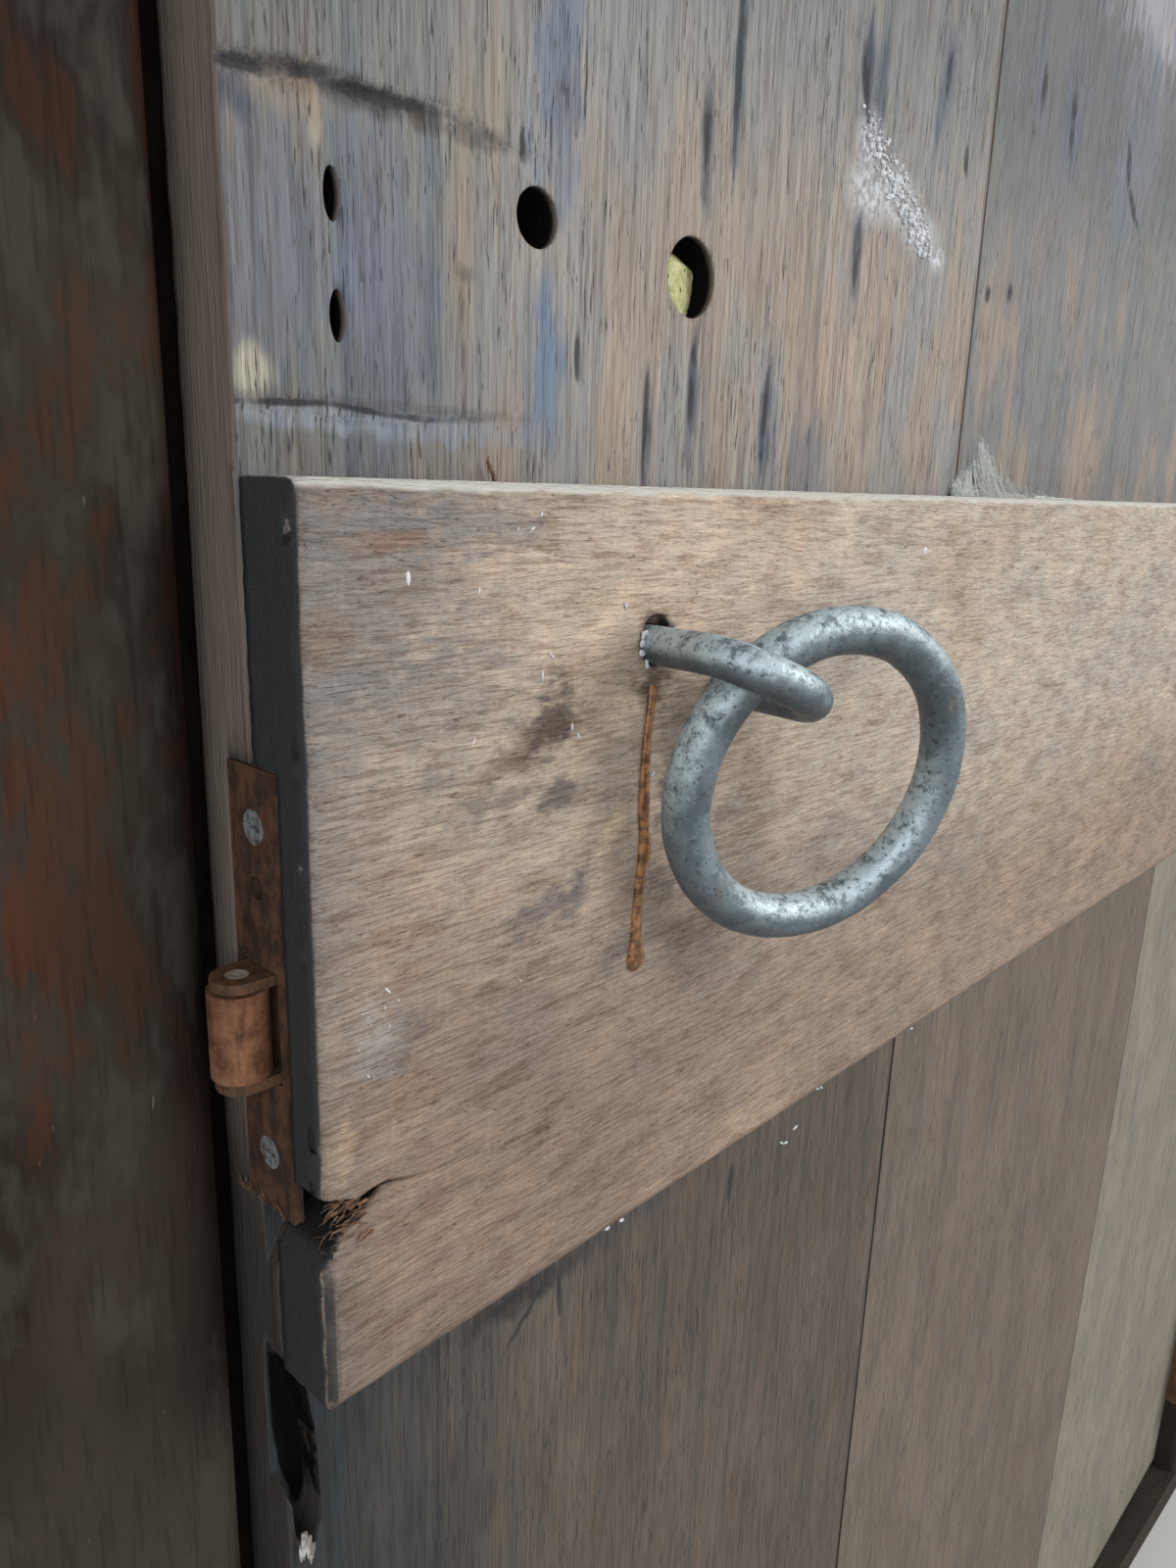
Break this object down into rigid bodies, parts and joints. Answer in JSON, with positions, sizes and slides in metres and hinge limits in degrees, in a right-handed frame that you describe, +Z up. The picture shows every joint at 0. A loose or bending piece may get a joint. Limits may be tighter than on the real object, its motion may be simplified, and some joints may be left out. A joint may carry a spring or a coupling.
{
  "type": "arched wooden door",
  "caption": "Arched ledged door of wide boards in its own rebated wooden frame, with a ring pull on a staple, a sprung roller catch in the edge and lift-off hinges, standing slightly ajar",
  "frame": {"origin": "middle of the sill's underside", "axes": "X across the doorway towards the hinges, -Y towards the ledged side that the leaf opens to, Z up"},
  "size_m": [1.114, 0.1641, 2.105],
  "materials": {
    "weathered_board": "weathered, unpainted, grey-brown",
    "ledge_wood": "weathered, unpainted, warm grey-brown",
    "frame_wood": "old dark brown varnish, worn",
    "forged_iron": "forged iron, worn, blue-grey",
    "rusty_steel": "steel under an even coat of rust",
    "filler": "old yellow-green filler"
  },
  "bodies": {
    "frame": {"sill": "frame_wood", "jamb_latch": "frame_wood", "jamb_hinge": "frame_wood", "arch_latch": "frame_wood", "arch_hinge": "frame_wood", "crown_key": "frame_wood", "frame_pegs": "frame_wood", "strike_plate": "rusty_steel", "strike_screws": "rusty_steel", "hinge_frame_wings": "rusty_steel", "hinge_pins": "rusty_steel", "hinge_washers": "rusty_steel", "hinge_frame_screws": "rusty_steel"},
    "leaf": {"board_latch": "weathered_board", "board_middle": "weathered_board", "board_hinge": "weathered_board", "ledge_middle": "ledge_wood", "ledge_upper": "ledge_wood", "ledge_nails": "forged_iron", "hole_filler": "filler", "ring_staple": "forged_iron", "catch_plate": "rusty_steel", "catch_case": "rusty_steel", "catch_adjuster": "rusty_steel", "catch_screws": "rusty_steel", "catch_spring": "rusty_steel", "hinge_leaf_wings": "rusty_steel", "hinge_leaf_screws": "rusty_steel"},
    "carriage": {"catch_carriage": "rusty_steel", "roller_pin": "rusty_steel"},
    "roller": {"catch_roller": "rusty_steel"},
    "ring": {"pull_ring": "forged_iron"}
  },
  "joints": [
    {"name": "leaf_swing", "type": "hinge", "parent": "frame", "child": "leaf", "pos_m": [0.4935, -0.0534, 0.988], "axis": [0, 0, 1], "range_deg": [-1.7, 95]},
    {"name": "catch_slide", "type": "slide", "parent": "leaf", "child": "carriage", "axis": [0.9996, 0.0297, 0], "range_m": [0, 0.009], "stiffness_N_per_m": 400, "springref_m": -0.01, "deforming": ["catch_spring"]},
    {"name": "roller_spin", "type": "hinge", "parent": "carriage", "child": "roller", "pos_m": [-0.49395, -0.05304, 0.8733], "axis": [0, 0, 1], "continuous": true},
    {"name": "ring_swing", "type": "hinge", "parent": "leaf", "child": "ring", "pos_m": [-0.37729, -0.09408, 0.94358], "axis": [-0.6523, 0.3368, -0.679], "range_deg": [-9, 90]}
  ]
}
